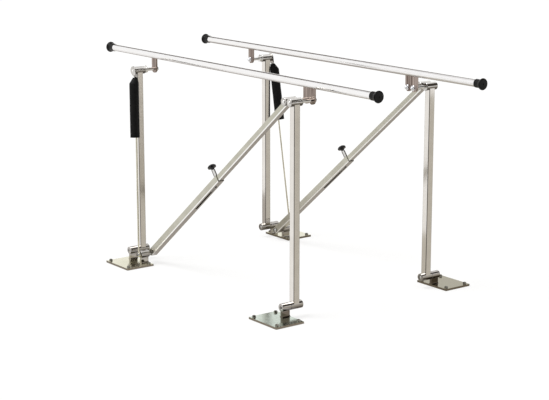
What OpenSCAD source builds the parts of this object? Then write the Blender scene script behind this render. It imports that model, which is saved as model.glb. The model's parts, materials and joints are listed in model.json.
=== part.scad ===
/* [Handrails] */
// Length of each handrail tube
bar_len = 1920; // [1800:10:3000]
// Outside diameter of the handrail tube
bar_d = 31.8; // [30:0.1:38]
// Wall of the handrail tube
bar_wall = 1.5; // [1:0.1:3]
// Height of the handrail axis above the floor
bar_z = 950; // [850:5:1050]
// Distance between the two handrail axes
bar_gap = 550; // [500:10:800]

/* [End caps] */
// Length of the cap that grips the tube
cap_over = 20; // [15:1:40]
// Length of the cap beyond the end of the tube
cap_end = 21; // [18:1:35]
// Rubber thickness round the tube
cap_wall = 2; // [1.5:0.1:4]
// Diameter of the flared face of the cap
cap_face_d = 49; // [44:1:60]
// Radius of the rounded rim of the cap
cap_rim_r = 5; // [3:0.5:7]
// Length over which the cap flares to its rim
cap_flare_len = 16; // [10:1:24]
// Height of the crown in the middle of the face
cap_crown = 1; // [0.5:0.5:3]

/* [Posts] */
// Side of the square post tube
post_side = 30; // [25:1:32]
// Wall of the square post tube
post_wall = 1.5; // [1:0.1:3]
// Outside corner radius of the square tubes
tube_corner_r = 2.5; // [2:0.1:4]
// Distance of the plane of the posts outboard of the handrail axis
post_out = 88; // [80:1:110]
// Place of the rear post along the handrail
rear_post_x = -591; // [-700:1:-500]
// Place of the front post along the handrail
front_post_x = 573; // [500:1:700]
// Height of the base pivots above the floor
foot_z = 50; // [45:1:60]
// Distance of the top pivots below the handrail axis
pivot_drop = 63; // [55:1:80]

/* [Barrels and pins] */
// Outside diameter of the pivot barrels
barrel_d = 34; // [30:0.5:36]
// Length of a post barrel
barrel_len = 60; // [50:1:62]
// Distance of the bottom barrels inboard of the plane of the posts
foot_barrel_in = 4; // [0:0.5:4.5]
// Diameter of the pivot pins
pin_d = 14; // [10:0.5:16]
// Radial clearance between a pin and its barrel
pin_fit = 0.05; // [0.02:0.01:0.1]
// Gap between parts that turn side by side
side_gap = 0.3; // [0.2:0.1:0.5]
// Chamfer on the ends of barrels, pins and rings
edge_chamfer = 1; // [0.5:0.1:1.5]
// How far a pin end stands out of its barrel
pin_stick = 2; // [1:0.5:4]
// Diameter of the domed head of a base pin
pin_head_d = 21; // [18:0.5:26]
// Height of the domed head of a base pin
pin_head_h = 4; // [3:0.5:5]
// Outside diameter of the collar on the rear top pin
collar_d = 28; // [22:0.5:32]
// Length of the collar on the rear top pin
collar_len = 11; // [8:0.5:15]
// Outside diameter of the thin ring between the collar and the barrel
collar_ring_d = 32; // [28:0.5:34]
// Outside diameter of the rings on the brace foot pin
ring_d = 22; // [18:0.5:28]
// Thickness of a thin ring
ring_t = 3.2; // [2:0.1:5]

/* [Hangers] */
// Width of a hanger strip along the handrail
hanger_w = 36; // [30:0.5:36]
// Thickness of a hanger strip
hanger_t = 8; // [5:0.5:10]
// Width across the flats of a cap nut
nut_flat = 22; // [19:0.5:26]
// Height of the hexagonal part of a cap nut
nut_h = 8; // [6:0.5:12]
// Diameter of the dome of a cap nut
nut_dome_d = 18.5; // [16:0.5:18.5]

/* [Brace] */
// Distance of the brace foot pivot in front of the rear post pivot
brace_foot_gap = 95; // [85:1:120]
// Distance of the brace head pivot behind the front post pivot
brace_head_gap = 37; // [37:0.5:50]
// Side of the outer brace tube
outer_side = 32; // [31:0.5:36]
// Side of the inner brace tube
inner_side = 26; // [22:0.5:26]
// Wall of both brace tubes
brace_wall = 1.5; // [1:0.1:1.6]
// Length of the outer tube from its pivot to its upper end
outer_len = 702; // [660:1:760]
// Length of the inner tube from its pivot to its lower end
inner_len = 727; // [700:1:760]
// Distance of the mitred lower end below the brace foot pivot
mitre_drop = 12; // [10:0.5:14]

/* [Slot and index plunger] */
// Distance of the slot from the upper end of the outer tube
slot_back = 47; // [40:1:60]
// Length of the slot in the underside of the outer tube
slot_len = 205; // [205:1:230]
// Width of the slot
slot_w = 11; // [10:0.5:14]
// Diameter of the head of the stop screw in the slot
stop_head_d = 9.5; // [7:0.5:9.5]
// Diameter of the shank of the stop screw
stop_shank_d = 6.5; // [4:0.5:6.5]
// How far the stop screw stands out of the slot
stop_stick = 1.5; // [0.5:0.1:3]
// Distance of the plunger from the upper end of the outer tube
plunger_back = 22; // [18:1:30]
// Outside diameter of the plunger body
plunger_d = 17; // [15:0.5:20]
// Length of the plunger body
plunger_len = 36; // [30:1:42]
// Wall of the plunger body round its spring chamber
plunger_wall = 2.2; // [1.5:0.1:2.5]
// Diameter of the plunger pin
plunger_pin_d = 8; // [6:0.5:9]
// Travel of the plunger when it is pulled
plunger_travel = 8; // [6:0.5:10]
// Diameter of the head of the plunger knob
knob_d = 39; // [30:1:42]
// Length of the neck of the plunger knob
knob_neck = 12; // [8:0.5:16]
// Length of the flare below the head of the knob
knob_flare_h = 5; // [3:0.5:6]
// Diameter of the knob where its flare meets the head
knob_flare_d = 24; // [20:1:28]
// Height of the upright rim of the knob's head
knob_rim_h = 3.5; // [2:0.5:5]
// Height of the domed head of the plunger knob
knob_head_h = 14; // [10:0.5:18]
// Number of index holes in the inner tube
index_count = 7; // [5:1:7]
// Distance between index holes
index_pitch = 32; // [28:1:34]
// Diameter of an index hole
index_d = 9; // [8.5:0.5:11]

/* [Base] */
// Length of a base plate along the handrail
plate_len = 185; // [175:1:220]
// Width of a base plate across the handrail
plate_w = 141; // [120:1:180]
// Thickness of a base plate
plate_t = 9; // [6:0.5:12]
// Distance of the inner edge of a base plate outboard of the plane of the posts
plate_in = 28; // [22:1:28]
// How far the rear plate is moved forward of the middle of its two stands
rear_plate_shift = 3.5; // [-10:0.5:10]
// How far the front plate is moved forward of its stand
front_plate_shift = 7; // [-10:0.5:15]
// Distance of a bolt from the plate edges
bolt_inset = 15.5; // [14:0.5:22]
// Diameter of the flange of a floor bolt
bolt_flange_d = 17; // [14:0.5:20]
// Height of the flange of a floor bolt
bolt_flange_h = 2.2; // [1.5:0.1:3]
// Width across the flats of the head of a floor bolt
bolt_flat = 13; // [10:0.5:14]
// Height of the head of a floor bolt above the plate
bolt_head_h = 9; // [7:0.5:12]
// Diameter of the shank of a floor bolt
bolt_d = 9; // [8:0.5:10]
// Length of a stand barrel
stand_len = 43.5; // [43:0.5:56]
// Width of a stand web across the handrail
stand_web_w = 39; // [34:0.5:40]
// Thickness of a stand web along the handrail
stand_web_t = 12; // [10:0.5:16]
// Radius of the fillet at the foot of a stand web
stand_fillet = 7; // [4:0.5:9]
// Diameter of the set screws on the stand barrels
set_screw_d = 6; // [5:0.5:8]
// Distance of a set screw from the middle of its barrel
set_screw_out = 12.5; // [9:0.5:15]
// How far a set screw stands out of its barrel
set_screw_stick = 0.8; // [0.4:0.1:2]

/* [Tension spring] */
// Distance of the spring hook below the rear top pivot
lug_drop = 25; // [24:0.5:32]
// Distance of the spring hook in front of the rear top pivot
lug_forward = 16; // [10:1:20]
// Thickness of the lug that carries the spring
lug_t = 5; // [4:0.5:7]
// Diameter of the flange round the rear top barrel
lug_flange_d = 40; // [38:0.5:44]
// Radius of the lower end of the lug
lug_tip_r = 8.5; // [7.5:0.5:10]
// Radius of the hole in the lug
lug_hole_r = 4.5; // [4:0.5:5]
// Mean radius of the hook ring
hook_r = 8; // [7.5:0.5:9]
// Diameter of the spring wire
wire_d = 4; // [3:0.5:4.5]
// Mean radius of the coil
coil_r = 9; // [8.5:0.5:10]
// Number of turns of the coil
coil_turns = 24; // [16:1:28]
// Distance of the top of the coil below the hook
coil_top = 30; // [28:1:40]
// Length of the coil at rest
coil_len = 236; // [200:1:240]
// Diameter of the pull rod
rod_d = 7; // [5:0.5:8]
// Length of the pull rod inside the coil
rod_in = 58; // [40:1:90]
// Outside diameter of the eye of the pull rod
eye_d = 24; // [20:0.5:28]
// Width of the eye of the pull rod
eye_w = 6; // [5:0.5:8]
// Gap between the brace stand and the eye
eye_gap = 4; // [1:0.5:6]

/* [Spring cover] */
// Outside diameter of the soft cover
cover_d = 44; // [40:0.5:48]
// Thickness of the soft cover
cover_wall = 1.6; // [1:0.1:2.5]
// Distance of the top of the cover below the hook
cover_top = 4; // [2:0.5:8]
// Height of the slanted shoulder of the cover
cover_shoulder = 28; // [20:1:40]
// Distance of the lower end of the cover below the hook
cover_bottom = 277; // [274:1:300]
// How far the cover hangs outboard of the spring
cover_out = 8; // [6:0.5:9]

/* [Hidden] */
$fn = 48;
eps = 0.1;
sides = [-1, 1];

post_y = bar_gap / 2 + post_out;
full_y = post_y + plate_in + plate_w;
top_z = bar_z - pivot_drop;
rear_x = rear_post_x;
front_x = front_post_x;
brace_foot_x = rear_x + brace_foot_gap;
brace_head_x = front_x - brace_head_gap;
barrel_r = barrel_d / 2;
pin_r = pin_d / 2;
bore_r = pin_r + pin_fit;

barrel_y = post_y - barrel_len / 2;
barrel_out_y = post_y + barrel_len / 2;
foot_y = barrel_y - foot_barrel_in;
foot_out_y = barrel_out_y - foot_barrel_in;
stand_y = foot_out_y + side_gap;
stand_out_y = stand_y + stand_len;
eye_y = stand_out_y + eye_gap;
eye_mid_y = eye_y + eye_w / 2;
foot_ring_y = eye_y + eye_w + side_gap;
foot_clip_y = post_y - outer_side / 2 - side_gap - ring_t;

brace_run = brace_head_x - brace_foot_x;
brace_rise = top_z - foot_z;
brace_len = norm([brace_run, brace_rise]);
brace_angle = atan2(brace_rise, brace_run);
outer_half = outer_side / 2;
inner_half = inner_side / 2;
slot_top = outer_len - slot_back;
stop_s = slot_top - slot_w / 2;
plunger_s = outer_len - plunger_back;
plunger_pin_r = plunger_pin_d / 2;
chamber_r = plunger_d / 2 - plunger_wall;
guide_h = 6;
knob_gap = 0.4;
shoulder_h = 3;
chamber_top = guide_h + shoulder_h + plunger_travel + 2 * knob_gap;

rear_plate_x = (rear_x + brace_foot_x) / 2 + rear_plate_shift;
front_plate_x = front_x + front_plate_shift;
plate_y = post_y + plate_in;

hook_x = rear_x + lug_forward;
hook_z = top_z - lug_drop;
lug_y = barrel_out_y - lug_t;
hook_y = barrel_out_y - lug_t / 2;
spring_span = [brace_foot_x - hook_x, eye_mid_y - hook_y, foot_z - hook_z];
spring_len = norm(spring_span);
spring_lean = atan2(spring_span[0], -spring_span[2]);
spring_tilt = asin(spring_span[1] / spring_len);
wire_r = wire_d / 2;
coil_rings = 8;
coil_sides = 6;
hook_sag = hook_r - sqrt(pow(hook_r, 2) - pow(lug_t / 2, 2)) + lug_t / 2 * tan(spring_tilt);
lug_hole_z = hook_z + lug_hole_r - wire_r - hook_sag - side_gap;
plug_r = coil_r * cos(180 / coil_rings) - wire_r - side_gap;
plug_len = 16;
rod_top = coil_top + coil_len - rod_in;
cover_in_r = cover_d / 2 - cover_wall;
ring_level = (hook_r - cover_top) / cover_shoulder;
cover_mouth_r = (hook_r + wire_r + side_gap - ring_level * (cover_in_r - cover_out)) / (1 - ring_level);

coil_pitch = coil_len / (coil_turns + wire_d / (coil_len / coil_turns));
coil_start = coil_top + wire_r;
coil_steps = coil_turns * coil_rings;
coil_slope = atan2(coil_pitch, 2 * PI * coil_r);
function coil_turn(i) = 360 * i / coil_rings;
function coil_mid(i) = [
    coil_r * cos(coil_turn(i)),
    coil_r * sin(coil_turn(i)),
    -coil_start - i * coil_pitch / coil_rings
];
function coil_point(i, j) = coil_mid(i)
    + wire_r * cos(360 * j / coil_sides) * [cos(coil_turn(i)), sin(coil_turn(i)), 0]
    + wire_r * sin(360 * j / coil_sides)
        * [-sin(coil_turn(i)) * sin(coil_slope), cos(coil_turn(i)) * sin(coil_slope), cos(coil_slope)];
coil_points = [for (i = [0 : coil_steps]) for (j = [0 : coil_sides - 1]) coil_point(i, j)];
coil_self_gap = min([for (i = [0 : coil_rings]) for (j = [0 : coil_sides - 1]) for (k = [0 : coil_sides - 1])
    norm(coil_point(i, j) - coil_point(i + coil_rings, k))]);

steel = [0.80, 0.79, 0.76];
satin = [0.86, 0.86, 0.86];
bright = [0.74, 0.74, 0.73];
beige = [0.71, 0.70, 0.63];
black = [0.10, 0.10, 0.10];

// Builds a part for one side: 1 is the left side, at positive Y, and -1 its mirror image on the right
module on_side(side) {
    if (side > 0) children();
    else mirror([0, 1, 0]) children();
}

// A solid or bored round bar along +Y with chamfered ends
module turned(r, bore, from_y, to_y) {
    translate([0, from_y, 0]) rotate([-90, 0, 0]) rotate_extrude()
        polygon([
            [bore, 0],
            [r - edge_chamfer, 0],
            [r, edge_chamfer],
            [r, to_y - from_y - edge_chamfer],
            [r - edge_chamfer, to_y - from_y],
            [bore, to_y - from_y]
        ]);
}

module round_square(side, r) {
    square([side - 2 * r, side], center = true);
    square([side, side - 2 * r], center = true);
    for (x = [-1, 1]) for (y = [-1, 1])
        translate([x * (side / 2 - r), y * (side / 2 - r)]) circle(r);
}

module square_tube(side, wall, length) {
    linear_extrude(length) difference() {
        round_square(side, tube_corner_r);
        round_square(side - 2 * wall, max(tube_corner_r - wall, eps));
    }
}

// A round cut along Y through everything, for barrels and pins
module cross_bore(r) {
    rotate([90, 0, 0]) cylinder(r = r, h = 2 * full_y, center = true);
}

// Base plate with its four bolt holes
module base_plate(x) {
    color(steel) difference() {
        translate([x, plate_y + plate_w / 2, 0]) linear_extrude(plate_t)
            square([plate_len, plate_w], center = true);
        at_bolts(x) translate([0, 0, -eps]) cylinder(d = bolt_d + 2 * side_gap, h = plate_t + 2 * eps);
    }
}

module at_bolts(x) {
    for (sx = [-1, 1]) for (sy = [-1, 1])
        translate([
            x + sx * (plate_len / 2 - bolt_inset),
            plate_y + plate_w / 2 + sy * (plate_w / 2 - bolt_inset),
            0
        ]) children();
}

// Flanged hexagonal bolt head with a shank that fills the plate
module floor_bolt() {
    cylinder(d = bolt_d, h = plate_t + eps);
    translate([0, 0, plate_t])
        cylinder(d1 = bolt_flange_d, d2 = bolt_flange_d - bolt_flange_h, h = bolt_flange_h);
    translate([0, 0, plate_t]) intersection() {
        cylinder(d = bolt_flat / cos(30), h = bolt_head_h, $fn = 6);
        translate([0, 0, bolt_head_h - bolt_flat]) sphere(r = bolt_flat);
    }
}

module floor_bolts() {
    color(bright) for (side = sides) on_side(side) {
        at_bolts(rear_plate_x) floor_bolt();
        at_bolts(front_plate_x) floor_bolt();
    }
}

// Stand: a barrel on a web with a filleted foot
module stand(x) {
    web_y = stand_y + (stand_len - stand_web_w) / 2;
    half = stand_web_t / 2;
    foot = [for (a = [0 : 15 : 90])
        [half + stand_fillet * (1 - cos(a)), plate_t + stand_fillet * (1 - sin(a))]];
    back = [for (i = [len(foot) - 1 : -1 : 0]) [-foot[i][0], foot[i][1]]];
    color(steel) translate([x, 0, 0]) difference() {
        union() {
            translate([0, web_y + stand_web_w, 0]) rotate([90, 0, 0]) linear_extrude(stand_web_w)
                polygon(concat([[-half, foot_z], [half, foot_z]], foot, back));
            translate([0, 0, foot_z]) turned(barrel_r, bore_r, stand_y, stand_out_y);
        }
        translate([0, 0, foot_z]) cross_bore(bore_r);
        at_set_screws() cylinder(d = set_screw_d + 2 * pin_fit, h = barrel_d);
    }
}

module at_set_screws() {
    for (s = [-1, 1])
        translate([0, stand_y + stand_len / 2 + s * set_screw_out, foot_z]) children();
}

// Set screw with a hexagon socket in its end
module set_screw() {
    socket_h = set_screw_d / 2;
    top = barrel_r + set_screw_stick;
    difference() {
        translate([0, 0, bore_r]) cylinder(d = set_screw_d, h = top - bore_r);
        translate([0, 0, top - socket_h]) cylinder(d = set_screw_d / 2, h = socket_h + eps, $fn = 6);
    }
}

module stand_set_screws() {
    color(bright) for (side = sides) on_side(side)
        for (x = [rear_x, brace_foot_x, front_x]) translate([x, 0, 0]) at_set_screws() set_screw();
}

module base_pivot_pins() {
    color(bright) for (side = sides) on_side(side) {
        for (x = [rear_x, front_x]) translate([x, 0, foot_z])
            headed_pin(foot_y, stand_out_y + pin_stick);
        translate([brace_foot_x, 0, foot_z])
            headed_pin(foot_clip_y, foot_ring_y + ring_t + pin_stick);
    }
}

// Pin along +Y with a domed head that stands just clear of what turns behind it
module headed_pin(from_y, to_y) {
    head_y = from_y - side_gap;
    turned(pin_r, 0, head_y - eps, to_y);
    translate([0, head_y, 0]) rotate([90, 0, 0]) intersection() {
        cylinder(d = pin_head_d, h = pin_head_h);
        translate([0, 0, pin_head_h - pin_head_d]) sphere(r = pin_head_d);
    }
}

// Rings on the brace foot pin: a clip inside the brace, a spacer before the stand, the keeper of the eye
module base_pin_rings() {
    color(bright) for (side = sides) on_side(side) translate([brace_foot_x, 0, foot_z]) {
        turned(ring_d / 2, bore_r, foot_clip_y, foot_clip_y + ring_t);
        turned(ring_d / 2, bore_r, post_y + outer_half + side_gap, stand_y);
        turned(ring_d / 2, bore_r, foot_ring_y, foot_ring_y + ring_t);
    }
}

// Square post tube, coped round its two barrels
module post_tube(x) {
    color(steel) translate([x, post_y, 0]) difference() {
        translate([0, 0, foot_z]) square_tube(post_side, post_wall, top_z - foot_z);
        translate([0, 0, foot_z]) cross_bore(barrel_r);
        translate([0, 0, top_z]) cross_bore(barrel_r);
    }
}

module plain_barrel(x, z, from_y, to_y) {
    color(bright) translate([x, 0, z]) turned(barrel_r, bore_r, from_y, to_y);
}

module top_barrel(x) {
    plain_barrel(x, top_z, barrel_y, barrel_out_y);
}

// Bottom barrel of a post with the round head of its grease screw
module bottom_barrel(x) {
    plain_barrel(x, foot_z, foot_y, foot_out_y);
    color(bright) translate([x, foot_y + set_screw_d, foot_z + barrel_r - edge_chamfer])
        cylinder(d = set_screw_d, h = edge_chamfer + set_screw_stick);
}

// Outline of the lug: a large circle and a small one at a distance, joined by their outer tangents
module lug_outline(reach) {
    big = lug_flange_d / 2;
    tangent = asin((big - lug_tip_r) / reach);
    across = [cos(tangent), -sin(tangent)];
    mirrored = [-across[0], across[1]];
    tip = [0, -reach];
    circle(big);
    translate(tip) circle(lug_tip_r);
    polygon([big * mirrored, big * across, tip + lug_tip_r * across, tip + lug_tip_r * mirrored]);
}

// Top barrel of the rear post with the lug that carries the spring
module rear_top_barrel() {
    hole_z = lug_hole_z - top_z;
    color(bright) translate([rear_x, 0, top_z]) difference() {
        union() {
            turned(barrel_r, bore_r, barrel_y, barrel_out_y);
            translate([0, barrel_out_y, 0]) rotate([90, 0, 0]) linear_extrude(lug_t)
                rotate(atan2(lug_forward, -hole_z)) lug_outline(norm([lug_forward, hole_z]));
        }
        cross_bore(bore_r);
        translate([lug_forward, lug_y - eps, hole_z]) rotate([-90, 0, 0])
            cylinder(r = lug_hole_r, h = lug_t + 2 * eps);
    }
}

module handrail_tube() {
    color(satin) translate([-bar_len / 2, bar_gap / 2, bar_z]) rotate([0, 90, 0]) difference() {
        cylinder(d = bar_d, h = bar_len);
        translate([0, 0, -eps]) cylinder(d = bar_d - 2 * bar_wall, h = bar_len + 2 * eps);
    }
}

// Flared rubber cap, drawn along +Z with the end of the tube at 0
module end_cap() {
    bar_r = bar_d / 2;
    neck_r = bar_r + cap_wall;
    rim_mid = [cap_face_d / 2 - cap_rim_r, cap_end - cap_rim_r];
    meet = rim_mid + cap_rim_r * [cos(50), -sin(50)];
    flare_points = [for (a = [0 : 10 : 60]) [
        neck_r + (meet[0] - neck_r) * (1 - cos(a)) / (1 - cos(60)),
        meet[1] - cap_flare_len * (1 - sin(a) / sin(60))
    ]];
    rim_points = [for (a = [-30 : 20 : 90]) rim_mid + cap_rim_r * [cos(a), sin(a)]];
    rotate_extrude() polygon(concat(
        [[0, 0], [bar_r, 0], [bar_r, -cap_over], [neck_r, -cap_over]],
        flare_points,
        rim_points,
        [[0, cap_end + cap_crown]]
    ));
}

module handrail_end_caps() {
    color(black) for (s = [-1, 1])
        translate([s * bar_len / 2, bar_gap / 2, bar_z]) rotate([0, s * 90, 0]) end_cap();
}

// Flat strip under the handrail, rounded at its pin and cut to sit on the tube
module hanger(x) {
    color(bright) translate([x, bar_gap / 2, 0]) difference() {
        translate([0, hanger_t / 2, 0]) rotate([90, 0, 0]) linear_extrude(hanger_t) union() {
            translate([0, top_z]) circle(d = hanger_w);
            translate([-hanger_w / 2, top_z]) square([hanger_w, pivot_drop]);
        }
        translate([0, 0, top_z]) cross_bore(bore_r);
        translate([0, 0, bar_z]) rotate([0, 90, 0]) cylinder(d = bar_d, h = 2 * hanger_w, center = true);
        translate([0, 0, bar_z + bar_gap / 4]) cube([2 * hanger_w, bar_gap, bar_gap / 2], center = true);
    }
}

hanger_in_y = bar_gap / 2 - hanger_t / 2;

module top_pivot_pins() {
    color(bright) for (x = [rear_x, front_x, brace_head_x]) translate([x, 0, top_z])
        turned(pin_r, 0, hanger_in_y - nut_h / 2, barrel_out_y + pin_stick);
}

// Domed nut on the inner face of a hanger
module cap_nut() {
    dome_r = nut_dome_d / 2;
    difference() {
        union() {
            translate([0, hanger_in_y, 0]) rotate([90, 0, 0]) intersection() {
                cylinder(d = nut_flat / cos(30), h = nut_h, $fn = 6);
                cylinder(r1 = nut_flat / 2 + nut_h, r2 = nut_flat / 2, h = nut_h);
            }
            translate([0, hanger_in_y - nut_h, 0]) rotate([90, 0, 0]) intersection() {
                sphere(r = dome_r);
                cylinder(r = dome_r, h = dome_r);
            }
        }
        translate([0, hanger_in_y + eps, 0]) rotate([90, 0, 0])
            cylinder(r = bore_r, h = nut_h / 2 + pin_fit + eps);
    }
}

module hanger_cap_nuts() {
    color(bright) for (x = [rear_x, front_x, brace_head_x]) translate([x, 0, top_z]) cap_nut();
}

// Collar on the rear top pin with its upright screw, and a thin ring before the barrel
module pin_collar() {
    ring_y = barrel_y - side_gap - ring_t;
    collar_y = ring_y - side_gap - collar_len;
    color(bright) translate([rear_x, 0, top_z]) {
        turned(collar_ring_d / 2, bore_r, ring_y, ring_y + ring_t);
        turned(collar_d / 2, bore_r, collar_y, collar_y + collar_len);
        translate([0, collar_y + collar_len / 2, collar_d / 2 - edge_chamfer])
            cylinder(d = set_screw_d, h = set_screw_d);
    }
}

// Places a child drawn along the brace: X runs up the brace from its foot pivot, Z out of its upper face
module along_brace() {
    translate([brace_foot_x, post_y, foot_z]) rotate([0, -brace_angle, 0]) children();
}

module rounded_slot(length, width, depth) {
    linear_extrude(depth) {
        for (s = [0, 1]) translate([width / 2 + s * (length - width), 0]) circle(d = width);
        translate([width / 2, -width / 2]) square([length - width, width]);
    }
}

module brace_tube_from(side, from_s, to_s) {
    translate([from_s, 0, 0]) rotate([0, 90, 0]) square_tube(side, brace_wall, to_s - from_s);
}

// Outer brace tube: mitred at the foot, slotted below and drilled for the plunger
module brace_outer_tube() {
    reach = 2 * outer_side;
    color(beige) along_brace() difference() {
        brace_tube_from(outer_side, -reach, outer_len);
        rotate([0, brace_angle, 0]) translate([0, 0, -mitre_drop - reach])
            cube([4 * reach, reach, 2 * reach], center = true);
        cross_bore(bore_r);
        translate([slot_top - slot_len, 0, -outer_half - eps])
            rounded_slot(slot_len, slot_w, brace_wall + 2 * eps);
        translate([plunger_s, 0, 0]) cylinder(r = plunger_pin_r + pin_fit, h = outer_side);
    }
}

// Inner brace tube with its row of index holes
module brace_inner_tube() {
    color(beige) along_brace() difference() {
        brace_tube_from(inner_side, brace_len - inner_len, brace_len);
        translate([brace_len, 0, 0]) cross_bore(barrel_r);
        for (i = [0 : index_count - 1])
            translate([plunger_s + i * index_pitch, 0, 0]) cylinder(d = index_d, h = inner_side);
        translate([stop_s, 0, -inner_side]) cylinder(d = stop_shank_d, h = inner_side);
    }
}

// Cheese-head stop screw that runs in the slot
module brace_stop_screw() {
    head_z = outer_half + stop_stick;
    socket_h = stop_stick + brace_wall;
    color(black) along_brace() translate([stop_s, 0, 0]) difference() {
        union() {
            translate([0, 0, -head_z]) cylinder(d = stop_head_d, h = head_z - inner_half);
            translate([0, 0, -head_z]) cylinder(d = stop_shank_d, h = head_z - inner_half + 2 * brace_wall);
        }
        translate([0, 0, -head_z - eps]) cylinder(d = stop_head_d / 2, h = socket_h + eps, $fn = 6);
    }
}

// Plunger body: guides at both ends and a chamber for the return spring between them
module plunger_body() {
    outer_r = plunger_d / 2;
    guide_r = plunger_pin_r + pin_fit;
    color(bright) along_brace() translate([plunger_s, 0, outer_half]) rotate_extrude()
        polygon([
            [guide_r, 0],
            [outer_r, 0],
            [outer_r, plunger_len - edge_chamfer],
            [outer_r - edge_chamfer, plunger_len],
            [guide_r, plunger_len],
            [guide_r, chamber_top],
            [chamber_r, chamber_top],
            [chamber_r, guide_h],
            [guide_r, guide_h]
        ]);
}

// Plunger knob with its pin; the nose ends level with the bore of the outer tube
module plunger_knob() {
    nose_z = -brace_wall;
    neck_z = plunger_len + knob_gap;
    head_z = neck_z + knob_neck;
    neck_r = plunger_d / 2 - edge_chamfer;
    stop_r = chamber_r - side_gap;
    stop_z = guide_h + knob_gap;
    dome_h = knob_head_h - knob_rim_h;
    head_r = knob_d / 2;
    dome = [for (a = [0 : 10 : 90]) [head_r * cos(a), head_z + knob_rim_h + dome_h * sin(a)]];
    color(black) along_brace() translate([plunger_s, 0, outer_half]) rotate_extrude()
        polygon(concat(
            [[0, nose_z],
             [plunger_pin_r, nose_z],
             [plunger_pin_r, stop_z],
             [stop_r, stop_z],
             [stop_r, stop_z + shoulder_h],
             [plunger_pin_r, stop_z + shoulder_h],
             [plunger_pin_r, neck_z],
             [neck_r, neck_z]],
            [[neck_r, head_z - knob_flare_h],
             [knob_flare_d / 2, head_z - edge_chamfer],
             [head_r - edge_chamfer, head_z]],
            dome
        ));
}

module brace_top_barrel() {
    top_barrel(brace_head_x);
}

// Places a child drawn along the spring: the hook is at 0 and the spring runs down along -Z
module along_spring() {
    translate([hook_x, hook_y, hook_z]) rotate([spring_tilt, -spring_lean, 0]) children();
}

// Coil of one unbroken wire, with a plug in its top turns that carries the hook ring
module spring_coil() {
    last = coil_steps * coil_sides;
    color(bright) along_spring() {
        polyhedron(
            points = coil_points,
            faces = concat(
                [for (j = [1 : coil_sides - 2]) [0, j + 1, j]],
                [for (j = [1 : coil_sides - 2]) [last, last + j, last + j + 1]],
                [for (i = [0 : coil_steps - 1]) for (j = [0 : coil_sides - 1]) each [
                    [i * coil_sides + j, i * coil_sides + (j + 1) % coil_sides, (i + 1) * coil_sides + j],
                    [
                        i * coil_sides + (j + 1) % coil_sides,
                        (i + 1) * coil_sides + (j + 1) % coil_sides,
                        (i + 1) * coil_sides + j
                    ]
                ]]
            )
        );
        translate([0, 0, -hook_r]) rotate([0, 90, 0]) rotate_extrude()
            translate([hook_r, 0]) circle(r = wire_r, $fn = 24);
        translate([0, 0, -coil_top - plug_len]) cylinder(r = plug_r, h = plug_len);
        translate([0, 0, -coil_top - eps]) cylinder(r = wire_r, h = coil_top - 2 * hook_r + eps);
    }
}

// Pull rod from the eye on the brace foot pin up into the coil
module spring_rod() {
    color([0.62, 0.60, 0.50]) difference() {
        union() {
            along_spring() translate([0, 0, -spring_len]) cylinder(d = rod_d, h = spring_len - rod_top);
            translate([brace_foot_x, 0, foot_z]) turned(eye_d / 2, 0, eye_y, eye_y + eye_w);
        }
        translate([brace_foot_x, 0, foot_z]) cross_bore(bore_r);
    }
}

// One slice of the cover: a disc of a given radius, centred outboard of the spring
module cover_slice(z, out, r) {
    translate([0, out, -z]) cylinder(r = r, h = eps, $fn = 32);
}

module cover_space(shrink, extra) {
    shoulder_z = cover_top + cover_shoulder;
    hull() {
        cover_slice(cover_top - extra, 0, cover_mouth_r + cover_wall - shrink);
        cover_slice(shoulder_z, cover_out, cover_d / 2 - shrink);
    }
    hull() {
        cover_slice(shoulder_z, cover_out, cover_d / 2 - shrink);
        cover_slice(cover_bottom + extra, cover_out, cover_d / 2 - shrink);
    }
}

module spring_cover() {
    color(black) along_spring() difference() {
        cover_space(0, 0);
        cover_space(cover_wall, 1);
    }
}

echo(str("Least gap between turns of the coil: ", coil_self_gap, " mm"));
echo(str("Brace length ", brace_len, " mm at ", brace_angle, " degrees"));

on_side(-1) base_plate(rear_plate_x);  // right_rear_base_plate
on_side(1) base_plate(rear_plate_x);  // left_rear_base_plate
on_side(-1) base_plate(front_plate_x);  // right_front_base_plate
on_side(1) base_plate(front_plate_x);  // left_front_base_plate
floor_bolts();
on_side(-1) stand(rear_x);  // right_rear_stand
on_side(1) stand(rear_x);  // left_rear_stand
on_side(-1) stand(brace_foot_x);  // right_brace_stand
on_side(1) stand(brace_foot_x);  // left_brace_stand
on_side(-1) stand(front_x);  // right_front_stand
on_side(1) stand(front_x);  // left_front_stand
stand_set_screws();
base_pivot_pins();
base_pin_rings();
on_side(-1) post_tube(rear_x);  // right_rear_post_tube
on_side(1) post_tube(rear_x);  // left_rear_post_tube
on_side(-1) rear_top_barrel();  // right_rear_post_top_barrel
on_side(1) rear_top_barrel();  // left_rear_post_top_barrel
on_side(-1) bottom_barrel(rear_x);  // right_rear_post_bottom_barrel
on_side(1) bottom_barrel(rear_x);  // left_rear_post_bottom_barrel
on_side(-1) post_tube(front_x);  // right_front_post_tube
on_side(1) post_tube(front_x);  // left_front_post_tube
on_side(-1) top_barrel(front_x);  // right_front_post_top_barrel
on_side(1) top_barrel(front_x);  // left_front_post_top_barrel
on_side(-1) bottom_barrel(front_x);  // right_front_post_bottom_barrel
on_side(1) bottom_barrel(front_x);  // left_front_post_bottom_barrel
on_side(-1) handrail_tube();  // right_handrail_tube
on_side(1) handrail_tube();  // left_handrail_tube
on_side(-1) handrail_end_caps();  // right_handrail_end_caps
on_side(1) handrail_end_caps();  // left_handrail_end_caps
on_side(-1) hanger(rear_x);  // right_rear_hanger
on_side(1) hanger(rear_x);  // left_rear_hanger
on_side(-1) hanger(front_x);  // right_front_hanger
on_side(1) hanger(front_x);  // left_front_hanger
on_side(-1) hanger(brace_head_x);  // right_brace_hanger
on_side(1) hanger(brace_head_x);  // left_brace_hanger
on_side(-1) top_pivot_pins();  // right_top_pivot_pins
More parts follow.
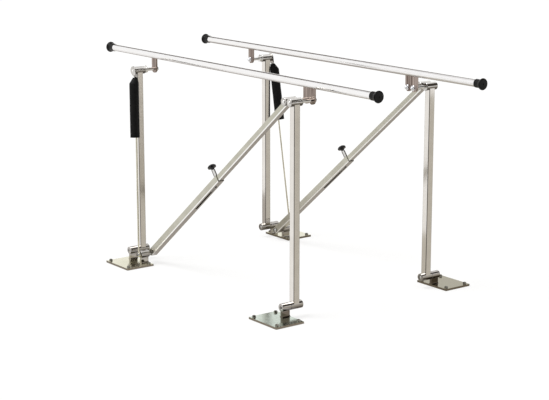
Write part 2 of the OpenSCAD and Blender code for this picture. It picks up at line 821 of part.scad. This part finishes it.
on_side(1) top_pivot_pins();  // left_top_pivot_pins
on_side(-1) hanger_cap_nuts();  // right_hanger_cap_nuts
on_side(1) hanger_cap_nuts();  // left_hanger_cap_nuts
on_side(-1) pin_collar();  // right_pin_collar
on_side(1) pin_collar();  // left_pin_collar
on_side(-1) brace_outer_tube();  // right_brace_outer_tube
on_side(1) brace_outer_tube();  // left_brace_outer_tube
on_side(-1) brace_inner_tube();  // right_brace_inner_tube
on_side(1) brace_inner_tube();  // left_brace_inner_tube
on_side(-1) brace_top_barrel();  // right_brace_top_barrel
on_side(1) brace_top_barrel();  // left_brace_top_barrel
on_side(-1) brace_stop_screw();  // right_brace_stop_screw
on_side(1) brace_stop_screw();  // left_brace_stop_screw
on_side(-1) plunger_body();  // right_plunger_body
on_side(1) plunger_body();  // left_plunger_body
on_side(-1) plunger_knob();  // right_plunger_knob
on_side(1) plunger_knob();  // left_plunger_knob
on_side(-1) spring_coil();  // right_spring_coil
on_side(1) spring_coil();  // left_spring_coil
on_side(-1) spring_cover();  // right_spring_cover
on_side(1) spring_cover();  // left_spring_cover
on_side(-1) spring_rod();  // right_spring_rod
on_side(1) spring_rod();  // left_spring_rod
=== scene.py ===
import json
import math

import bpy
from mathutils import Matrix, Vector


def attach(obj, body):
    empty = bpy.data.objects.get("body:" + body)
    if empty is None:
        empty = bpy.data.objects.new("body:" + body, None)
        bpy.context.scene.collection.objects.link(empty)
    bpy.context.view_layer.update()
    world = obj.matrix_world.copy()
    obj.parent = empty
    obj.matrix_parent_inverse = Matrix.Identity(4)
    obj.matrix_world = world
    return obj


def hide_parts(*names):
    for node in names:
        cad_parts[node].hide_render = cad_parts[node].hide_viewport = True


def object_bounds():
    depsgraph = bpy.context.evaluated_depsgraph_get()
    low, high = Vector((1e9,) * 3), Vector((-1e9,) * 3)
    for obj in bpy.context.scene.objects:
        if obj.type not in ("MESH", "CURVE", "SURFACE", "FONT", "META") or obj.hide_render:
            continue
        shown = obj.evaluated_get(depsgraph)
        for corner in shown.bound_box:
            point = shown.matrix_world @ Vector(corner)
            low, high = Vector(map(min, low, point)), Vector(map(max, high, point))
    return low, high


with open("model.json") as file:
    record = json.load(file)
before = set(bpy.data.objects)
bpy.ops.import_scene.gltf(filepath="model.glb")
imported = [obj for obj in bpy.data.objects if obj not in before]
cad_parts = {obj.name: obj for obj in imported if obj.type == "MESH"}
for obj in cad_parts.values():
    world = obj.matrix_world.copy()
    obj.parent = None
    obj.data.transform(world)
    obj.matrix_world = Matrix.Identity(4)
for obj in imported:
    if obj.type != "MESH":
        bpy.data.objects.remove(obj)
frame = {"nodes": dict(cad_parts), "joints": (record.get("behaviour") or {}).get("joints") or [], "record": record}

cad_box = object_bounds()

# ---- named values, in metres where nothing else is said ----

# camera: width and focal length in pixels, sensor in millimetres, place, turn and tilt down in degrees
IMAGE_W = 549
CAMERA_FOCAL_PX = 1542.0
SENSOR = 36.0
CAMERA_AT = (5.3578, -4.0814, 1.8505)
CAMERA_TURN = 52.92
CAMERA_DOWN = 12.66

# light: where the sun stands, its strength and its width in degrees, and the level and tint of the room
SUN_FROM = (-0.45, -0.75, 1.25)
SUN_STRENGTH = 1.5
SUN_ANGLE = 34
ROOM_LIGHT = 0.62
ROOM_TINT = (1.0, 0.985, 0.96)

# floor: its side, how far below the object it lies, the own light and the grey that the camera and mirrors
# see, and the grey that passes light on to the object
FLOOR_SIZE = 80
FLOOR_DROP = 0.0005
FLOOR_OWN_LIGHT = 0.70
FLOOR_ALBEDO = 0.34
FLOOR_PAPER = 0.8

# Cards that only mirrors show. They stand for the darker studio of the photograph.
# The upright ones are parts of cylinders round the origin: name, radius, first and last angle from +X in
# degrees, lowest and highest point, colour
FLAGS = (
    # beyond the +X end: what the front faces of the posts and the ends of the barrels mirror
    ("right_low_flag", 2.2, 14, 58, 0.0, 0.62, (0.60, 0.57, 0.51)),
    ("right_high_flag", 2.2, 14, 72, 1.02, 3.8, (0.060, 0.052, 0.044)),
    # between the object and the camera: the dark lines along the barrels
    ("camera_flag", 1.7, -62, -20, 0.02, 1.40, (0.030, 0.027, 0.024)),
    # far beyond the -X end, so that the lines along the handrails stay even
    ("end_flag", 12.0, 138, 180, 5.0, 11.4, (0.19, 0.175, 0.165)),
    ("end_high_flag", 12.0, 138, 240, 11.4, 34.0, (0.80, 0.79, 0.79)),
)
FLAG_STEPS = 16
# The ones on the floor, for the surfaces that look down: name, two corners, colour
MATS = (
    ("mat", (-0.65, -0.335), (2.2, 2.2), (0.60, 0.57, 0.51)),
    ("end_mat", (-2.6, -0.25), (-0.65, 2.2), (0.50, 0.47, 0.44)),
)
MAT_DROP = 0.0003

# the stretch of a grain that is even, runs along the handrails, or runs down the posts
EVEN = (1, 1, 1)
ALONG_X = (0.03, 1, 1)
ALONG_Z = (1, 1, 0.03)

# name, dark and light tone, lowest and highest roughness, scale, stretch and bump of the grain, the
# roughness that smudges add, scale and stretch of the changes of tone
METALS = (
    ("plated_plate", (0.72, 0.70, 0.52), (0.84, 0.81, 0.64), 0.11, 0.17, 260, EVEN, 0.02, 0.03, 9, EVEN),
    ("chrome_joint", (0.62, 0.60, 0.57), (0.78, 0.76, 0.73), 0.05, 0.08, 400, EVEN, 0.02, 0.03, 60, EVEN),
    ("chrome_hanger", (0.12, 0.085, 0.07), (0.44, 0.37, 0.33),
     0.08, 0.13, 700, ALONG_Z, 0.04, 0.03, 190, ALONG_Z),
    ("chrome_pin", (0.70, 0.69, 0.67), (0.84, 0.83, 0.81), 0.05, 0.08, 500, EVEN, 0.02, 0.03, 22, EVEN),
    ("chrome_screws", (0.70, 0.71, 0.73), (0.86, 0.87, 0.90), 0.06, 0.12, 700, EVEN, 0.03, 0.03, 22, EVEN),
    ("satin_rail", (0.90, 0.89, 0.88), (0.93, 0.92, 0.92), 0.12, 0.16, 900, ALONG_X, 0.008, 0.01, 22, EVEN),
    ("polished_post", (0.72, 0.69, 0.65), (0.77, 0.74, 0.70), 0.09, 0.13, 900, ALONG_Z, 0.02, 0.02, 22, EVEN),
    ("brushed_brace", (0.48, 0.465, 0.39), (0.54, 0.525, 0.45), 0.24, 0.32, 1100, EVEN, 0.08, 0.02, 22, EVEN),
    ("spring_wire", (0.50, 0.49, 0.47), (0.62, 0.61, 0.59), 0.20, 0.32, 900, EVEN, 0.06, 0.03, 22, EVEN),
    ("plated_rod", (0.52, 0.49, 0.38), (0.66, 0.62, 0.50), 0.20, 0.30, 900, ALONG_Z, 0.05, 0.03, 22, EVEN),
)
METAL_GRAIN_DEPTH = 0.0002
# detail and roughness of the noise
METAL_GRAIN = (4.0, 0.6)
SMUDGE_DETAIL = 2.0

# name, plain and dusty tone, lowest and highest roughness, scale and bump of the pebbled grain, shine
BLACKS = (
    ("black_rubber", (0.003, 0.003, 0.003), (0.009, 0.0085, 0.008), 0.22, 0.34, 900, 0.14, 0.14),
    ("black_screw", (0.012, 0.012, 0.011), (0.030, 0.029, 0.027), 0.35, 0.50, 1500, 0.10, 0.35),
    ("black_plastic", (0.006, 0.006, 0.007), (0.012, 0.012, 0.013), 0.16, 0.24, 1300, 0.05, 0.35),
    ("black_cover", (0.003, 0.003, 0.003), (0.008, 0.0075, 0.007), 0.40, 0.56, 1100, 0.35, 0.10),
)
BLACK_GRAIN_DEPTH = 0.0003
BLACK_GRAIN = (4.0, 0.65)
# scale and detail
DUST = (35, 3.0)

# Stains, painted shade, painted dark reflections and painted highlights: darker or brighter places on the metals.
# The value at which each is full, the value at which it has faded out, and its colour. The function that lays
# them on the metals says what is measured.
STAINS_AND_PAINTED_LIGHT = {
    "front_plates": (0.55, -0.50, (0.66, 0.75, 0.66)),
    "left_front_plate": (0.75, 0.45, (0.29, 0.26, 0.17)),
    "plate_edges": (0.3, 0.6, (0.20, 0.17, 0.13)),
    "low_joints": (0.09, 0.20, (0.52, 0.495, 0.47)),
    # painted shade on the undersides of the joints
    "joint_undersides_painted_shade": (-0.40, 0.15, (0.12, 0.105, 0.095)),
    "webs": (0.028, 0.037, (0.40, 0.37, 0.33)),
    "front_webs": (0.33, 0.26, (0.15, 0.125, 0.10)),
    # painted shade on the rails' undersides
    "rail_undersides_painted_shade": (-0.9, 0.05, (0.60, 0.575, 0.56)),
    # painted dark reflection on the low screws
    "low_screws_painted_reflection": (0.024, 0.034, (0.22, 0.21, 0.18)),
    # painted dark reflection streaks on the plungers and low pins
    "pin_painted_reflection_streaks": (0.35, 0.80, (0.14, 0.13, 0.12)),
    # painted shade on the rounded corners of the posts
    "post_corners_painted_shade": (0.06, 0.01, (0.05, 0.04, 0.035)),
    # painted shade on the undersides of the braces
    "brace_undersides_painted_shade": (-0.65, -0.45, (0.47, 0.44, 0.425)),
    # painted highlight along the lower corners of the braces
    "brace_painted_highlights": (0, 1, (0.92, 0.91, 0.89)),
}
# the directions across the plates and down the webs by which the left front and the front ones are told apart
TO_LEFT_FRONT = (1, 1, 0)
TO_FRONT_WEB = (1, 0, -8)
# the pins and plungers keep their own tone, without the painted dark reflection, where they face along this, and
# all of them above PINS_HIGH
PIN_BRIGHT = (0.8, -0.6, 0)
PINS_HIGH = (0.62, 0.72)
# the directions along the braces and square to them, and where along them the outer tube ends
ALONG_BRACE = (0.77667, 0, 0.62991)
ABOVE_BRACE = (-0.62991, 0, 0.77667)
OUTER_BRACE_END = (0.348, 0.349)
# the undersides of the outer and the inner tube, and the height above them up to which the sides get the painted
# highlight
OUTER_BRACE_LOW = 0.33527
INNER_BRACE_LOW = 0.33827
BRACE_PAINTED_HIGHLIGHT_HEIGHT = (0.0040, 0.0055)
# square of how far a face looks across the braces: below this it is an upper or a lower face
BRACE_SIDE = (0.10, 0.20)

# the soft covers: distances below the hook, offset from the hook's line, radii, wall, and how many points
# there are round and along
COVER_TOP = 0.0042
COVER_SHOULDER = 0.028
COVER_BOTTOM = 0.2768
COVER_OUT = 0.0078
COVER_MOUTH_R = 0.0111
COVER_R = 0.0216
COVER_WALL = 0.0014
COVER_ROUND = 96
COVER_LONG = 110
# the share of the shoulder that is straight and not rounded
SHOULDER_STRAIGHT = 0.65
# the folds reach their full depth this far below the mouth; for each its share, waves round, phase and twist
FOLDS_FULL = 0.12
FOLD_DEPTH = 0.0008
FOLDS = ((0.55, 5, 0.9, 5), (0.35, 8, -1.7, -9))
# the dents are where two waves meet: waves round and twist
DENT_DEPTH = 0.0005
DENT_SHARE = 0.45
DENTS = ((2, 61), (3, 23))
HEM = 0.013
SEAM_ANGLE = math.radians(-52)
# each has a depth and a half width
HEM_GROOVE = (0.0006, 0.0012)
SEAM_RIDGE = (0.0005, 0.0035)
SEAM_GROOVE = (0.0007, 0.0007)
STITCH_PITCH = 0.0044
STITCH_LONG = 0.0029
STITCH_R = 0.00032
STITCH_LIFT = STITCH_R * 0.5
STITCH_SIDES = 6
# share of the stitch's length and of its radius, for each ring of its points
STITCH_RINGS = ((0.0, 0.3), (0.2, 0.9), (0.8, 0.9), (1.0, 0.3))
# from a row of stitches to the seam or the hem's edge, and from the mouth to the first stitch
STITCH_BESIDE = 0.0026
STITCH_START = 0.006
# how far off the cover a point is taken to find the way out of it
OUTWARD_PROBE = 0.001

joint_at = {j["name"]: Vector(j["pos_m"]) for j in frame["joints"] if "pos_m" in j}


def add_object(name, data):
    made = bpy.data.objects.new(name, data)
    bpy.context.scene.collection.objects.link(made)
    return made


# ---- materials ----

class Nodes:
    """A material's node tree with its Principled shader, and short calls for the nodes that it uses."""

    def __init__(self, name, **constants):
        self.material = bpy.data.materials.new(name)
        self.material.use_nodes = True
        self.tree = self.material.node_tree
        self.shader = self.tree.nodes["Principled BSDF"]
        for socket, value in constants.items():
            self.shader.inputs[socket.replace("_", " ")].default_value = value
        own = self.tree.nodes.new("ShaderNodeTexCoord")
        self.coordinates = own.outputs["Object"]
        self.normal = own.outputs["Normal"]

    def join(self, source, target):
        self.tree.links.new(source, target)

    def colour(self, tone):
        """Makes a tone the shader's colour."""
        self.tone = tone
        self.join(tone, self.shader.inputs["Base Color"])

    def noise(self, scale, detail, roughness=0.5, stretch=EVEN):
        mapping = self.tree.nodes.new("ShaderNodeMapping")
        mapping.inputs["Scale"].default_value = stretch
        self.join(self.coordinates, mapping.inputs["Vector"])
        node = self.tree.nodes.new("ShaderNodeTexNoise")
        node.inputs["Scale"].default_value = scale
        node.inputs["Detail"].default_value = detail
        node.inputs["Roughness"].default_value = roughness
        self.join(mapping.outputs["Vector"], node.inputs["Vector"])
        return node.outputs["Fac"]

    def spread(self, value, low, high, from_low=0.3, from_high=0.7):
        """Goes from low to high as value goes from from_low to from_high, and stays inside."""
        node = self.tree.nodes.new("ShaderNodeMapRange")
        numbers = {"From Min": from_low, "From Max": from_high, "To Min": low, "To Max": high}
        for socket, number in numbers.items():
            node.inputs[socket].default_value = number
        self.join(value, node.inputs["Value"])
        return node.outputs["Result"]

    def maths(self, operation, a, b):
        node = self.tree.nodes.new("ShaderNodeMath")
        node.operation = operation
        for socket, value in zip(node.inputs, (a, b)):
            if isinstance(value, (int, float)):
                socket.default_value = value
            else:
                self.join(value, socket)
        return node.outputs["Value"]

    def square(self, value):
        return self.maths("MULTIPLY", value, value)

    def mix(self, factor, first, second):
        """Goes from the first colour to the second. Each is three numbers or a socket."""
        node = self.tree.nodes.new("ShaderNodeMix")
        node.data_type = "RGBA"
        for socket, colour in (("A", first), ("B", second)):
            if isinstance(colour, tuple):
                node.inputs[socket].default_value = (*colour, 1)
            else:
                self.join(colour, node.inputs[socket])
        self.join(factor, node.inputs["Factor"])
        return node.outputs["Result"]

    def dot(self, vector, direction):
        node = self.tree.nodes.new("ShaderNodeVectorMath")
        node.operation = "DOT_PRODUCT"
        self.join(vector, node.inputs[0])
        node.inputs[1].default_value = direction
        return node.outputs["Value"]

    def place(self, x, y, z):
        """Distance along a direction in the object's own frame, times that direction's length."""
        return self.dot(self.coordinates, (x, y, z))

    def facing(self, x, y, z):
        """How far the surface faces a direction in the object's own frame, from -1 to 1."""
        return self.dot(self.normal, (x, y, z))

    def bump(self, height, strength, distance):
        node = self.tree.nodes.new("ShaderNodeBump")
        node.inputs["Strength"].default_value = strength
        node.inputs["Distance"].default_value = distance
        self.join(height, node.inputs["Height"])
        self.join(node.outputs["Normal"], self.shader.inputs["Normal"])

    def lay_stain_or_painted_light(self, value, name):
        """Lays the colour of one of the stains, or painted shade or a painted highlight, over the tone where value
        is past full, and lets it fade to the other end.
        """
        full, faded, colour = STAINS_AND_PAINTED_LIGHT[name]
        self.colour(self.mix(self.spread(value, 0, 1, full, faded), colour, self.tone))


def metal(name, dark, light, smooth, rough, grain_scale, grain_stretch, bump, smudge,
          tone_scale, tone_stretch):
    """Bare or plated metal: fine grain, and soft changes of tone that dull it here and there."""
    n = Nodes(name, Metallic=1.0)
    grain = n.noise(grain_scale, *METAL_GRAIN, grain_stretch)
    smudges = n.noise(tone_scale, SMUDGE_DETAIL, stretch=tone_stretch)
    n.colour(n.mix(n.spread(smudges, 0, 1), dark, light))
    gloss = n.maths("ADD", n.spread(grain, smooth, rough), n.spread(smudges, 0, smudge))
    n.join(gloss, n.shader.inputs["Roughness"])
    n.bump(grain, bump, METAL_GRAIN_DEPTH)
    return n


def black(name, plain, dusty, smooth, rough, grain_scale, bump, shine):
    """Black rubber, plastic, paint or leathercloth: a fine pebbled grain with faint paler dust."""
    n = Nodes(name, Metallic=0.0, Specular_IOR_Level=shine)
    grain = n.noise(grain_scale, *BLACK_GRAIN)
    dust = n.noise(*DUST)
    n.colour(n.mix(n.spread(dust, 0, 1), plain, dusty))
    n.join(n.spread(grain, smooth, rough), n.shader.inputs["Roughness"])
    n.bump(grain, bump, BLACK_GRAIN_DEPTH)
    return n


def paint_stains_and_light_on_the_metals(finishes):
    # the front plates are greener than the rear ones, the left front one is brown, and so are all cut edges
    plate = finishes["plated_plate"]
    plate.lay_stain_or_painted_light(plate.place(1, 0, 0), "front_plates")
    plate.lay_stain_or_painted_light(plate.place(*TO_LEFT_FRONT), "left_front_plate")
    plate.lay_stain_or_painted_light(plate.facing(0, 0, 1), "plate_edges")

    # low joints are darker, painted shade darkens the undersides, and the webs are darker, above all those of the
    # front stands
    joint = finishes["chrome_joint"]
    joint.lay_stain_or_painted_light(joint.place(0, 0, 1), "low_joints")
    joint.lay_stain_or_painted_light(joint.facing(0, 0, 1), "joint_undersides_painted_shade")
    joint.lay_stain_or_painted_light(joint.place(0, 0, 1), "webs")
    joint.lay_stain_or_painted_light(joint.place(*TO_FRONT_WEB), "front_webs")

    # painted shade on the rails' undersides, and a painted dark reflection on the low screws
    rail = finishes["satin_rail"]
    rail.lay_stain_or_painted_light(rail.facing(0, 0, 1), "rail_undersides_painted_shade")
    screws = finishes["chrome_screws"]
    screws.lay_stain_or_painted_light(screws.place(0, 0, 1), "low_screws_painted_reflection")

    # painted dark reflections run as streaks along the plungers and the low pins
    pins = finishes["chrome_pin"]
    bright = pins.square(pins.facing(*PIN_BRIGHT))
    high = pins.spread(pins.place(0, 0, 1), 0, 1, *PINS_HIGH)
    pins.lay_stain_or_painted_light(pins.maths("MAXIMUM", bright, high), "pin_painted_reflection_streaks")

    # painted shade darkens the rounded corners of the posts, which face neither along X nor along Y
    post = finishes["polished_post"]
    across = post.square(post.facing(0, 1, 0))
    post.lay_stain_or_painted_light(post.maths("MULTIPLY", across, post.maths("SUBTRACT", 1, across)), "post_corners_painted_shade")

    # painted shade on the undersides of the braces, and a painted highlight along their lower corners, a little
    # way up the sides of both tubes
    brace = finishes["brushed_brace"]
    brace.lay_stain_or_painted_light(brace.facing(0, 0, 1), "brace_undersides_painted_shade")
    not_side = brace.spread(brace.square(brace.facing(0, 1, 0)), 1, 0, *BRACE_SIDE)
    low = brace.spread(brace.place(*ALONG_BRACE), OUTER_BRACE_LOW, INNER_BRACE_LOW, *OUTER_BRACE_END)
    above = brace.maths("SUBTRACT", brace.place(*ABOVE_BRACE), low)
    corner = brace.maths("MAXIMUM", not_side, brace.spread(above, 0, 1, *BRACE_PAINTED_HIGHLIGHT_HEIGHT))
    brace.lay_stain_or_painted_light(corner, "brace_painted_highlights")


finishes = {row[0]: metal(*row) for row in METALS}
finishes.update({row[0]: black(*row) for row in BLACKS})
paint_stains_and_light_on_the_metals(finishes)
materials = {name: n.material for name, n in finishes.items()}

for part in frame["record"]["subparts"]:
    shown = frame["nodes"][part["node"]]
    if not shown.material_slots:
        shown.data.materials.append(None)
    for own in shown.material_slots:
        own.material = materials[part["material_slot"]]


# ---- soft covers of the two springs ----

def mesh_object(name, points, faces, slot, body):
    mesh = bpy.data.meshes.new(name)
    mesh.from_pydata([tuple(p) for p in points], [], faces)
    mesh.update()
    for face in mesh.polygons:
        face.use_smooth = True
    mesh.materials.append(materials[slot])
    made = add_object(name, mesh)
    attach(made, body)
    return made


def bell(distance, size):
    depth, half_width = size
    return depth * math.exp(-(distance / half_width) ** 2)


def cover_form(angle, down):
    """Radius and outboard offset of the outer face, at an angle from outboard and a distance below hook."""
    below = max(0.0, down - COVER_TOP)
    shoulder = min(1.0, below / COVER_SHOULDER)
    eased = shoulder * shoulder * (3 - 2 * shoulder)
    widening = SHOULDER_STRAIGHT * shoulder + (1 - SHOULDER_STRAIGHT) * eased
    radius = COVER_MOUTH_R + (COVER_R - COVER_MOUTH_R) * widening
    hang = min(1.0, below / FOLDS_FULL)
    folds = 0.0
    for share, waves, phase, twist in FOLDS:
        folds += share * math.sin(waves * angle + phase + twist * down)
    dents = DENT_SHARE
    for waves, twist in DENTS:
        dents *= math.sin(waves * angle + twist * down)
    radius += FOLD_DEPTH * hang * folds + DENT_DEPTH * eased * dents
    radius -= bell(abs(COVER_BOTTOM - HEM - down), HEM_GROOVE)
    seam_gap = math.atan2(math.sin(angle - SEAM_ANGLE), math.cos(angle - SEAM_ANGLE)) * radius
    radius += bell(seam_gap, SEAM_RIDGE) - bell(seam_gap, SEAM_GROOVE)
    return radius, COVER_OUT * shoulder


def spring_frame(side, sign):
    """The hook's place, and the directions down the spring, outboard and to the front."""
    hook = joint_at[f"{side}_spring_hook_turn"]
    foot = joint_at[f"{side}_spring_rod_turn"]
    down = (foot - hook).normalized()
    out = Vector((0, sign, 0))
    out = (out - out.dot(down) * down).normalized()
    front = Vector((1, 0, 0))
    front = (front - front.dot(down) * down - front.dot(out) * out).normalized()
    return hook, down, out, front


def on_cover(axes, angle, below, lift=0.0):
    hook, down, out, front = axes
    radius, offset = cover_form(angle, below)
    reach = radius + lift
    return hook + down * below + out * (offset + reach * math.cos(angle)) + front * reach * math.sin(angle)


def cover_mesh(side, sign):
    """A sleeve with an outer and an inner face, joined round the mouth and the hem."""
    axes = spring_frame(side, sign)
    outer, inner = [], []
    for i in range(COVER_LONG + 1):
        below = COVER_TOP + (COVER_BOTTOM - COVER_TOP) * i / COVER_LONG
        for j in range(COVER_ROUND):
            angle = 2 * math.pi * j / COVER_ROUND
            outer.append(on_cover(axes, angle, below))
            inner.append(on_cover(axes, angle, below, -COVER_WALL))
    count = len(outer)
    last = COVER_LONG * COVER_ROUND
    faces = []
    for j in range(COVER_ROUND):
        k = (j + 1) % COVER_ROUND
        for i in range(COVER_LONG):
            a, b = i * COVER_ROUND, (i + 1) * COVER_ROUND
            faces.append((a + j, b + j, b + k, a + k))
            faces.append((count + a + k, count + b + k, count + b + j, count + a + j))
        faces.append((j, k, count + k, count + j))
        faces.append((last + k, last + j, count + last + j, count + last + k))
    if sign < 0:
        faces = [tuple(reversed(face)) for face in faces]
    return mesh_object(f"{side}_cover_sleeve", outer + inner, faces, "black_cover", f"{side}_spring")


def stitch(points, faces, start, end, outward):
    """One short thread on the surface from start to end, as a tapered bead."""
    run = (end - start).normalized()
    across = run.cross(outward).normalized()
    first = len(points)
    for share, thick in STITCH_RINGS:
        centre = start.lerp(end, share)
        for k in range(STITCH_SIDES):
            turn = 2 * math.pi * k / STITCH_SIDES
            points.append(centre + (across * math.cos(turn) + outward * math.sin(turn)) * STITCH_R * thick)
    rings = len(STITCH_RINGS) - 1
    for ring in range(rings):
        a, b = first + ring * STITCH_SIDES, first + (ring + 1) * STITCH_SIDES
        for k in range(STITCH_SIDES):
            following = (k + 1) % STITCH_SIDES
            faces.append((a + k, a + following, b + following, b + k))
    faces.append(tuple(first + k for k in reversed(range(STITCH_SIDES))))
    faces.append(tuple(first + rings * STITCH_SIDES + k for k in range(STITCH_SIDES)))


def cover_stitches(side, sign):
    """Two rows of stitches along the seam and one round the hem."""
    axes = spring_frame(side, sign)
    points, faces = [], []

    def sew(a, b):
        start, end = on_cover(axes, *a, STITCH_LIFT), on_cover(axes, *b, STITCH_LIFT)
        middle = ((a[0] + b[0]) / 2, (a[1] + b[1]) / 2)
        outward = (on_cover(axes, *middle, OUTWARD_PROBE) - on_cover(axes, *middle)).normalized()
        stitch(points, faces, start, end, outward)

    beside = STITCH_BESIDE / COVER_R
    steps = int((COVER_BOTTOM - HEM - COVER_TOP - STITCH_START) / STITCH_PITCH)
    for n in range(steps):
        below = COVER_TOP + STITCH_START + n * STITCH_PITCH
        for turn in (SEAM_ANGLE - beside, SEAM_ANGLE + beside):
            sew((turn, below), (turn, below + STITCH_LONG))
    around = int(2 * math.pi * COVER_R / STITCH_PITCH)
    share = STITCH_LONG / STITCH_PITCH
    below = COVER_BOTTOM - HEM + STITCH_BESIDE
    for n in range(around):
        turn = 2 * math.pi * n / around
        sew((turn, below), (turn + 2 * math.pi * share / around, below))
    return mesh_object(f"{side}_cover_stitches", points, faces, "black_cover", f"{side}_spring")


for side, sign in (("right", -1), ("left", 1)):
    sleeve = cover_mesh(side, sign)
    thread = cover_stitches(side, sign)
    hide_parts(f"{side}_spring_cover")


# ---- floor, background, cards, light and camera ----

def cleared(owner):
    """The emptied node tree of a material or world."""
    owner.use_nodes = True
    owner.node_tree.nodes.clear()
    return owner.node_tree


def shader_node(tree, kind, colour=None, strength=None):
    node = tree.nodes.new(kind)
    if colour:
        node.inputs["Color"].default_value = (*colour, 1)
    if strength:
        node.inputs["Strength"].default_value = strength
    return node.outputs[0]


def show(tree, kind, shader):
    tree.links.new(shader, tree.nodes.new(kind).inputs["Surface"])


def white_for_camera(tree, shown, other):
    """Mixes two shaders: shown for camera, glossy and transmission rays, other for the rays that carry the
    room's light."""
    path = tree.nodes.new("ShaderNodeLightPath")
    seen = path.outputs["Is Camera Ray"]
    for name in ("Is Glossy Ray", "Is Transmission Ray"):
        either = tree.nodes.new("ShaderNodeMath")
        either.operation = "MAXIMUM"
        tree.links.new(seen, either.inputs[0])
        tree.links.new(path.outputs[name], either.inputs[1])
        seen = either.outputs["Value"]
    mix = tree.nodes.new("ShaderNodeMixShader")
    tree.links.new(seen, mix.inputs["Fac"])
    tree.links.new(other, mix.inputs[1])
    tree.links.new(shown, mix.inputs[2])
    return mix.outputs["Shader"]


def flat_rectangle(x0, y0, x1, y1, z):
    return [(x0, y0, z), (x1, y0, z), (x1, y1, z), (x0, y1, z)], [(0, 1, 2, 3)]


def make_floor():
    """White paper that keeps the object's shadow."""
    half = FLOOR_SIZE / 2
    points, faces = flat_rectangle(-half, -half, half, half, 0)
    mesh = bpy.data.meshes.new("floor")
    mesh.from_pydata(points, [], faces)
    floor = add_object("floor", mesh)
    floor.location.z = cad_box[0].z - FLOOR_DROP
    material = bpy.data.materials.new("floor")
    tree = cleared(material)
    both = tree.nodes.new("ShaderNodeAddShader")
    tree.links.new(shader_node(tree, "ShaderNodeBsdfDiffuse", [FLOOR_ALBEDO] * 3), both.inputs[0])
    tree.links.new(shader_node(tree, "ShaderNodeEmission", strength=FLOOR_OWN_LIGHT), both.inputs[1])
    paper = shader_node(tree, "ShaderNodeBsdfDiffuse", [FLOOR_PAPER] * 3)
    show(tree, "ShaderNodeOutputMaterial", white_for_camera(tree, both.outputs["Shader"], paper))
    mesh.materials.append(material)


def make_world():
    """White where it is seen or mirrored, and a soft even level for the light on the object."""
    world = bpy.data.worlds.new("studio")
    tree = cleared(world)
    room = shader_node(tree, "ShaderNodeBackground", ROOM_TINT, ROOM_LIGHT)
    white = shader_node(tree, "ShaderNodeBackground", (1, 1, 1))
    show(tree, "ShaderNodeOutputWorld", white_for_camera(tree, white, room))
    bpy.context.scene.world = world


def make_flag(name, points, faces, colour):
    """A card that only mirrors show: it darkens part of what bright metal reflects, and lights nothing."""
    mesh = bpy.data.meshes.new(name)
    mesh.from_pydata(points, [], faces)
    material = bpy.data.materials.new(name)
    tree = cleared(material)
    show(tree, "ShaderNodeOutputMaterial", shader_node(tree, "ShaderNodeEmission", colour))
    mesh.materials.append(material)
    card = add_object(name, mesh)
    card.visible_camera = False
    card.visible_diffuse = False
    card.visible_transmission = False
    card.visible_volume_scatter = False
    card.visible_shadow = False


def make_flags():
    for name, radius, first, last, low, high, colour in FLAGS:
        points, faces = [], []
        for i in range(FLAG_STEPS + 1):
            turn = math.radians(first + (last - first) * i / FLAG_STEPS)
            for height in (low, high):
                points.append((radius * math.cos(turn), radius * math.sin(turn), height))
        for i in range(FLAG_STEPS):
            faces.append((2 * i, 2 * i + 2, 2 * i + 3, 2 * i + 1))
        make_flag(name, points, faces, colour)
    level = cad_box[0].z - MAT_DROP
    for name, (x0, y0), (x1, y1), colour in MATS:
        make_flag(name, *flat_rectangle(x0, y0, x1, y1, level), colour)


def make_sun():
    light = bpy.data.lights.new("sun", "SUN")
    light.energy = SUN_STRENGTH
    light.angle = math.radians(SUN_ANGLE)
    sun = add_object("sun", light)
    sun.rotation_mode = "QUATERNION"
    sun.rotation_quaternion = Vector(SUN_FROM).to_track_quat("Z", "Y")


def make_camera():
    data = bpy.data.cameras.new("camera")
    data.sensor_width = SENSOR
    data.lens = CAMERA_FOCAL_PX / IMAGE_W * SENSOR
    camera = add_object("camera", data)
    camera.location = CAMERA_AT
    camera.rotation_euler = (math.radians(90 - CAMERA_DOWN), 0, math.radians(CAMERA_TURN))
    bpy.context.scene.camera = camera


make_floor()
make_world()
make_flags()
make_sun()
make_camera()
bpy.context.scene.view_settings.view_transform = "Standard"
